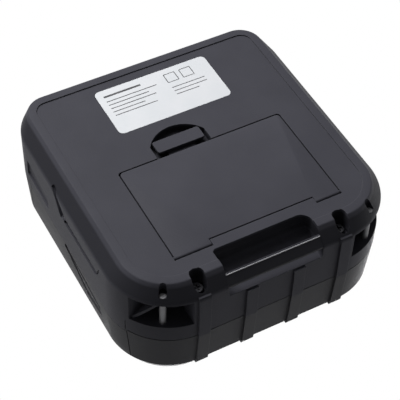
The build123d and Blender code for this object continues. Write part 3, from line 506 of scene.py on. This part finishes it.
FINISHES["steel"] = metal("ground_steel", (0.60, 0.60, 0.61), (0.18, 0.34), (8000, 300, 8000))
FINISHES["zinc_steel"] = metal("zinc_plate", (0.52, 0.53, 0.55), (0.28, 0.46), (700, 700, 700),
                               (0.44, 0.45, 0.49))
FINISHES["aluminium"] = metal("extruded_aluminium", (0.62, 0.62, 0.64), (0.3, 0.45), (60, 4000, 4000))
FINISHES["brass"] = metal("gold_flash", (0.75, 0.55, 0.25), (0.18, 0.3), (1500, 1500, 1500))
FINISHES["black_screw"] = metal("black_oxide", (0.03, 0.03, 0.033), (0.45, 0.6), (2600, 2600, 2600),
                                (0.05, 0.05, 0.055))
print("finishes with metals:", len(FINISHES))

# %% [markdown]
# ## Clear pieces, boards and label stock
# The lid's window and the display's pane are tinted clear plastic with a faint orange-peel ripple. The
# boards are green solder resist with paler copper tracks under it. The rating label is coated paper:
# white, slightly glossy, with a fibre mottle.

# %% Clear plastic
RIPPLE_DEPTH = 0.00001
HAZE_SPREAD = 0.06
TINT_DRIFT = 0.92


def clear_plastic(name, tint, rough):
    material, nodes, links, shader = bare_material(name)
    where = on_object(nodes)
    drift = use_effect(nodes, links, DRIFT, Vector=where, Colour=rgba(tint),
                       Other_colour=rgba([c * TINT_DRIFT for c in tint]), Patches_per_metre=25.0)
    links.new(drift.outputs["Colour"], shader.inputs["Base Color"])
    ripple = nodes.new("ShaderNodeTexNoise")
    ripple.inputs["Scale"].default_value = 420.0
    links.new(where, ripple.inputs["Vector"])
    haze = range_to(nodes, links, ripple.outputs["Fac"], rough, rough + HAZE_SPREAD)
    links.new(haze, shader.inputs["Roughness"])
    shader.inputs["Transmission Weight"].default_value = 1.0
    shader.inputs["IOR"].default_value = 1.49
    add_bump(nodes, links, shader, ripple.outputs["Fac"], RIPPLE_DEPTH)
    return material


FINISHES["smoke_window"] = clear_plastic("smoked_window", (0.16, 0.16, 0.17), 0.04)
FINISHES["display_glass"] = clear_plastic("display_pane", (0.32, 0.34, 0.36), 0.03)
FINISHES["light_guide"] = clear_plastic("light_guide", (0.62, 0.85, 0.62), 0.12)
print("finishes with clear plastics:", len(FINISHES))

# %% Circuit boards, display and label
TRACK_DEPTH = 0.00004
FIBRE_DEPTH = 0.000006
VIA_COLOUR = (0.5, 0.5, 0.42)
VIA_CORE = 0.12
VIA_RIM = 0.18


def circuit_board():
    material, nodes, links, shader = bare_material("solder_resist")
    where = on_object(nodes)
    tracks = nodes.new("ShaderNodeTexBrick")
    tracks.inputs["Scale"].default_value = 160.0
    tracks.inputs["Mortar Size"].default_value = 0.03
    tracks.inputs["Color1"].default_value = (0.010, 0.085, 0.030, 1)
    tracks.inputs["Color2"].default_value = (0.013, 0.10, 0.036, 1)
    tracks.inputs["Mortar"].default_value = (0.03, 0.19, 0.07, 1)
    links.new(where, tracks.inputs["Vector"])
    vias = nodes.new("ShaderNodeTexVoronoi")
    vias.inputs["Scale"].default_value = 260.0
    links.new(where, vias.inputs["Vector"])
    dots = range_to(nodes, links, vias.outputs["Distance"], 1.0, 0.0, VIA_CORE, VIA_RIM)
    board = mixed(nodes, links, dots, tracks.outputs["Color"], VIA_COLOUR)
    links.new(board, shader.inputs["Base Color"])
    links.new(range_to(nodes, links, dots, 0.28, 0.4), shader.inputs["Roughness"])
    add_bump(nodes, links, shader, tracks.outputs["Fac"], TRACK_DEPTH)
    return material


def liquid_crystal():
    material, nodes, links, shader = bare_material("liquid_crystal")
    where = on_object(nodes)
    dots = nodes.new("ShaderNodeTexBrick")
    dots.offset = 0.0
    dots.inputs["Scale"].default_value = 1000.0
    dots.inputs["Brick Width"].default_value = 0.5
    dots.inputs["Row Height"].default_value = 0.5
    dots.inputs["Mortar Size"].default_value = 0.04
    dots.inputs["Color1"].default_value = (0.24, 0.30, 0.22, 1)
    dots.inputs["Color2"].default_value = (0.26, 0.32, 0.24, 1)
    dots.inputs["Mortar"].default_value = (0.33, 0.40, 0.31, 1)
    links.new(where, dots.inputs["Vector"])
    links.new(dots.outputs["Color"], shader.inputs["Base Color"])
    links.new(range_to(nodes, links, dots.outputs["Fac"], 0.25, 0.35), shader.inputs["Roughness"])
    return material


def coated_paper():
    material, nodes, links, shader = bare_material("label_stock")
    where = on_object(nodes)
    drift = use_effect(nodes, links, DRIFT, Vector=where, Colour=(0.60, 0.62, 0.645, 1),
                       Other_colour=(0.635, 0.645, 0.67, 1), Patches_per_metre=60.0)
    fibres = nodes.new("ShaderNodeTexNoise")
    fibres.inputs["Scale"].default_value = 2400.0
    fibres.inputs["Detail"].default_value = 4.0
    links.new(where, fibres.inputs["Vector"])
    links.new(drift.outputs["Colour"], shader.inputs["Base Color"])
    links.new(range_to(nodes, links, fibres.outputs["Fac"], 0.3, 0.42), shader.inputs["Roughness"])
    add_bump(nodes, links, shader, fibres.outputs["Fac"], FIBRE_DEPTH)
    return material


FINISHES["board_green"] = circuit_board()
FINISHES["display"] = liquid_crystal()
FINISHES["label_white"] = coated_paper()
print("all finishes:", len(FINISHES))

# %% [markdown]
# ## Giving each CAD node its finish
# The imported record says which material slot each node belongs to. The node's mesh stays as it is, and
# only the material in its slot changes. Two pieces in view differ from their neighbours, so they have a
# finish of their own: the strap posts are duller than ground steel, and the belt bar's edges are pale,
# a painted highlight.

# %% Finish the CAD nodes
SLOT_OF = {part["node"]: part["material_slot"] for part in frame["record"]["subparts"]}


def finish_node(node, finish):
    mesh_object = NODES[node]
    for index in range(max(1, len(mesh_object.material_slots))):
        if mesh_object.material_slots:
            mesh_object.material_slots[index].material = finish
        else:
            mesh_object.data.materials.append(finish)


OWN_FINISHES = {
    "strap_posts": metal("dull_steel", (0.10, 0.10, 0.105), (0.42, 0.58), (8000, 8000, 300)),
    # The belt bar's near-white edges are a painted highlight.
    "belt_bar": moulded("bar_plastic_painted_highlight", (0.022, 0.022, 0.027), (0.027, 0.027, 0.032), gloss=(0.4, 0.5),
                        shine=0.06, wear_and_highlight=1.0, wear_and_highlight_colour=(0.85, 0.85, 0.88), edge=0.0006, depth=0.00001),
}
for node in NODES:
    finish_node(node, OWN_FINISHES.get(node, FINISHES[SLOT_OF[node]]))
print("finished CAD nodes:", len(NODES))

# %% [markdown]
# ## Working with copies and cutters
# Some moulded details are easier to cut in Blender than in CAD: the shallow slots of the side walls and
# the softened edges of the battery door. Each is made on a merged copy of the CAD mesh, which then
# stands for its node. The tools are a copier, a rounded cutter and a Boolean that takes the cutter away,
# just as a mould's insert would leave the hollow.

# %% Copying, cutting and finishing
MERGE = 0.000002
SMOOTH_ANGLE = radians(32)


def only(piece):
    bpy.ops.object.select_all(action="DESELECT")
    piece.select_set(True)
    bpy.context.view_layer.objects.active = piece


def merged_copy(node, name):
    copy = bpy.data.objects.new(name, NODES[node].data.copy())
    bpy.context.scene.collection.objects.link(copy)
    only(copy)
    bpy.ops.object.mode_set(mode="EDIT")
    bpy.ops.mesh.select_all(action="SELECT")
    bpy.ops.mesh.remove_doubles(threshold=MERGE)
    bpy.ops.mesh.customdata_custom_splitnormals_clear()
    bpy.ops.object.mode_set(mode="OBJECT")
    return copy


def soften_edges(piece, width, segments, sharper_than=None):
    soften = piece.modifiers.new("soften", "BEVEL")
    soften.width = width * MM
    soften.segments = segments
    if sharper_than:
        soften.limit_method = "ANGLE"
        soften.angle_limit = sharper_than
    bpy.ops.object.modifier_apply(modifier="soften")


def rounded_block(name, centre, size, round_edge, turn=0.0, segments=3):
    bpy.ops.object.select_all(action="DESELECT")
    bpy.ops.mesh.primitive_cube_add(size=MM)
    block = bpy.context.active_object
    block.name = name
    block.scale = size
    bpy.ops.object.transform_apply(location=False, rotation=False, scale=True)
    soften_edges(block, round_edge, segments)
    block.rotation_euler = (turn, 0, 0)
    block.location = Vector(centre) * MM
    bpy.ops.object.transform_apply(location=True, rotation=True, scale=True)
    return block


def take_away(piece, cutter):
    only(piece)
    cut = piece.modifiers.new("cut", "BOOLEAN")
    cut.operation = "DIFFERENCE"
    cut.solver = "EXACT"
    cut.object = cutter
    bpy.ops.object.modifier_apply(modifier="cut")
    bpy.data.objects.remove(cutter, do_unlink=True)


def paint(piece, finish):
    piece.data.materials.clear()
    piece.data.materials.append(finish)


def close_piece(piece, body, slot, *nodes):
    only(piece)
    bpy.ops.object.shade_smooth_by_angle(angle=SMOOTH_ANGLE)
    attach(piece, body)
    if nodes:
        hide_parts(*nodes)
    print(piece.name, "faces:", len(piece.data.polygons), "on", body)


# %% [markdown]
# ## Slots in the side walls
# Along the left side of the base runs a channel with a slanted slit in front of it, and nearer the front
# a shallow thumb recess. The lid carries a slanted slot with a nearly level tail. In the photograph they
# are dark lines, and they are simpler here than there. They are shallower than the wall is thick, so
# nothing shows through. The right wall is not seen and gets the recess and the lid's slots, but its
# port flap takes the channel's place.

# %% Cut the side slots
WALL_FACE = 77.5
CORNER_SHARE = 0.45
CORNER_MOST = 1.0
SLIT = dict(at=(-10.8, 12.4), size=(18.0, 3.6), turn=36.0, deep=1.9, sides=(-1,))
CHANNEL = dict(at=(15.4, 19.6), size=(38.0, 4.4), turn=1.4, deep=1.7, sides=(-1,))
THUMB = dict(at=(-38.5, 27.0), size=(27.0, 11.0), turn=5.0, deep=1.0)
LID_SLOT = dict(at=(6.5, 47.8), size=(27.5, 4.6), turn=28.0, deep=1.8)
LID_TAIL = dict(at=(27.5, 53.6), size=(18.0, 5.0), turn=-6.0, deep=1.6)


def cut_side(piece, at, size, turn, deep, sides=(-1, 1)):
    for side in sides:
        centre = (side * WALL_FACE, *at)
        corner = min(CORNER_SHARE * size[1], CORNER_MOST)
        block = rounded_block("slot_cutter", centre, (2 * deep, *size), corner, radians(turn))
        take_away(piece, block)


base = merged_copy("base_shell", "base_moulding")
for slot_shape in (SLIT, CHANNEL, THUMB):
    cut_side(base, **slot_shape)
close_piece(base, "casing", SLOT_OF["base_shell"], "base_shell")

lid = merged_copy("media_lid", "lid_moulding")
for slot_shape in (LID_SLOT, LID_TAIL):
    cut_side(lid, **slot_shape)
close_piece(lid, "lid", SLOT_OF["media_lid"], "media_lid")

# %% [markdown]
# ## The battery door
# The door is a separate moulding with soft edges, so the gap round it reads as a dark line. The copy is
# drawn in a little from the opening, which widens the gap, and its sharp edges get a small bevel.

# %% Soften the door
DOOR_DRAW_IN = 0.3
EDGE_ROUND = 0.5
SHARP_EDGE = radians(60)


def softened(node, name, body, draw_in, round_edge):
    piece = merged_copy(node, name)
    low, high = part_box(node)
    middle = (Vector(low) + Vector(high)) / 2
    span = Vector(high) - Vector(low)
    narrower, shorter = ((edge - 2 * draw_in * MM) / edge for edge in (span.x, span.y))
    bpy.ops.object.mode_set(mode="EDIT")
    bpy.ops.mesh.select_all(action="SELECT")
    bpy.ops.transform.resize(value=(narrower, shorter, 1.0), center_override=middle)
    bpy.ops.object.mode_set(mode="OBJECT")
    soften_edges(piece, round_edge, segments=2, sharper_than=SHARP_EDGE)
    close_piece(piece, body, SLOT_OF[node], node)


softened("battery_door", "door_moulding", "door", DOOR_DRAW_IN, EDGE_ROUND)

# %% [markdown]
# ## A painted highlight on the belt bar
# A thin line of light runs along the bar. It may be a moulded lip or only a reflection. It is made as a
# thin pale strip on the bar's slanting face, a painted highlight that shows under any light and from
# any side.

# %% Lay the painted highlight strip
HIGHLIGHT_STRIP_PLACE = (75.9, 4.15)
HIGHLIGHT_STRIP_SIZE = (53.5, 0.55, 0.35)
HIGHLIGHT_STRIP_ROUND = 0.15
BAR_SLANT = radians(50.4)
# Painted highlight: a pale strip along the bar's slanting face.
highlight_strip = rounded_block("bar_highlight_strip", (0, *HIGHLIGHT_STRIP_PLACE), HIGHLIGHT_STRIP_SIZE, HIGHLIGHT_STRIP_ROUND, BAR_SLANT)
paint(highlight_strip, moulded("painted_highlight_strip", (0.42, 0.42, 0.45), (0.5, 0.5, 0.53), gloss=(0.2, 0.3), shine=0.5,
                   depth=0.000003, wear_and_highlight=0.2, wear_and_highlight_colour=(0.6, 0.6, 0.62)))
close_piece(highlight_strip, "casing", None)

# %% [markdown]
# ## A generic form on the rating label
# A rating label carries a printed form. Ours is left without words: a heavy heading bar, ruled lines of
# uneven length and two empty frames. Each bar is a thin rounded block of ink on the paper. One function
# places them all, and at the end they are joined.

# %% Print the form
INK_HIGH = 0.03
INK_ROUND = INK_HIGH * 0.3
LINE_THICK = 0.55
SIDE_LINE_THICK = 0.5
FRAME_THICK = 0.45
LABEL_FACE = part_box("rating_label")[0][2] / MM
FORM_LEFT = -28.5
SIDE_LEFT = 8.0
HEADING = (-57.5, 22.0, 1.3)
LINES = ((-53.6, 30.0), (-50.8, 24.0), (-48.0, 27.0), (-45.2, 19.0), (-42.4, 25.0))
SIDE_LINES = ((-47.6, 20.0), (-44.8, 20.0), (-42.0, 14.0))
FRAMES = ((SIDE_LEFT, -55.2, 6.5), (17.5, -55.2, 6.5))


def ink_block(centre_x, row, length, thick):
    centre = (centre_x, row, LABEL_FACE - INK_HIGH / 2)
    return rounded_block("ink", centre, (length, thick, INK_HIGH), INK_ROUND, segments=1)


def ink_bar(left, row, length, thick):
    return ink_block(left + length / 2, row, length, thick)


bars = [ink_bar(FORM_LEFT, *HEADING)]
for row, length in LINES:
    bars.append(ink_bar(FORM_LEFT, row, length, LINE_THICK))
for row, length in SIDE_LINES:
    bars.append(ink_bar(SIDE_LEFT, row, length, SIDE_LINE_THICK))
for left, row, side in FRAMES:
    for shift in (-side / 2, side / 2):
        bars.append(ink_bar(left, row + shift, side, FRAME_THICK))
        bars.append(ink_block(left + side / 2 + shift, row, FRAME_THICK, side))
only(bars[0])
for bar in bars:
    bar.select_set(True)
bpy.ops.object.join()
form = bpy.context.active_object
form.name = "label_form"
paint(form, moulded("label_ink", (0.05, 0.05, 0.055), (0.08, 0.08, 0.085), gloss=(0.5, 0.6), shine=0.3,
                    depth=0.000002, wear_and_highlight=0.0, patches=200.0))
close_piece(form, "casing", None)

# %% [markdown]
# ## Marks on the two keys
# The keys are on the side that the photograph doesn't show, so their marks are invented: a broken ring
# with a bar for power, and an arrowhead for paper feed. The ring is a torus with its rear part removed
# and its ends closed, and the arrowhead is a three-sided cylinder with rounded edges.

# %% Raise the marks
RING_RADIUS = 2.1
RING_WIRE = 0.3
RING_OPENS_AT = 1.2
POWER_BAR = (0.55, 1.9, 0.55)
POWER_BAR_REAR = 1.9
POWER_BAR_ROUND = 0.15
ARROW_RADIUS = 2.3
ARROW_HIGH = 0.5
ARROW_ROUND = 0.18


def key_top(node):
    low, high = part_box(node)
    return Vector(((low[0] + high[0]) / 2, (low[1] + high[1]) / 2, high[2]))


def power_mark():
    top = key_top("power_button")
    bpy.ops.object.select_all(action="DESELECT")
    bpy.ops.mesh.primitive_torus_add(major_radius=RING_RADIUS * MM, minor_radius=RING_WIRE * MM,
                                     major_segments=40, minor_segments=10, location=top)
    ring = bpy.context.active_object
    ring.name = "power_mark"
    bpy.ops.object.transform_apply(location=True, rotation=True, scale=True)
    bpy.ops.object.mode_set(mode="EDIT")
    bpy.ops.mesh.select_mode(type="FACE")
    bpy.ops.mesh.select_all(action="DESELECT")
    bpy.ops.object.mode_set(mode="OBJECT")
    for face in ring.data.polygons:
        face.select = face.center.y - top.y > RING_OPENS_AT * MM
    bpy.ops.object.mode_set(mode="EDIT")
    bpy.ops.mesh.delete(type="FACE")
    bpy.ops.mesh.select_all(action="SELECT")
    bpy.ops.mesh.fill_holes(sides=12)
    bpy.ops.mesh.normals_make_consistent(inside=False)
    bpy.ops.object.mode_set(mode="OBJECT")
    bar_middle = (top.x / MM, top.y / MM + POWER_BAR_REAR, top.z / MM)
    bar = rounded_block("power_bar", bar_middle, POWER_BAR, POWER_BAR_ROUND)
    only(ring)
    bar.select_set(True)
    bpy.ops.object.join()
    return ring


def feed_mark():
    top = key_top("feed_button")
    bpy.ops.object.select_all(action="DESELECT")
    bpy.ops.mesh.primitive_cylinder_add(vertices=3, radius=ARROW_RADIUS * MM, depth=ARROW_HIGH * MM,
                                        location=top)
    arrow = bpy.context.active_object
    arrow.name = "feed_mark"
    bpy.ops.object.transform_apply(location=True, rotation=True, scale=True)
    soften_edges(arrow, ARROW_ROUND, segments=3)
    return arrow


mark_paint = moulded("mark_paint", (0.55, 0.55, 0.56), (0.6, 0.6, 0.61), gloss=(0.4, 0.5),
                     depth=0.000004, wear_and_highlight=0.1)
for mark, body in ((power_mark(), "power_key"), (feed_mark(), "feed_key")):
    paint(mark, mark_paint)
    close_piece(mark, body, None)
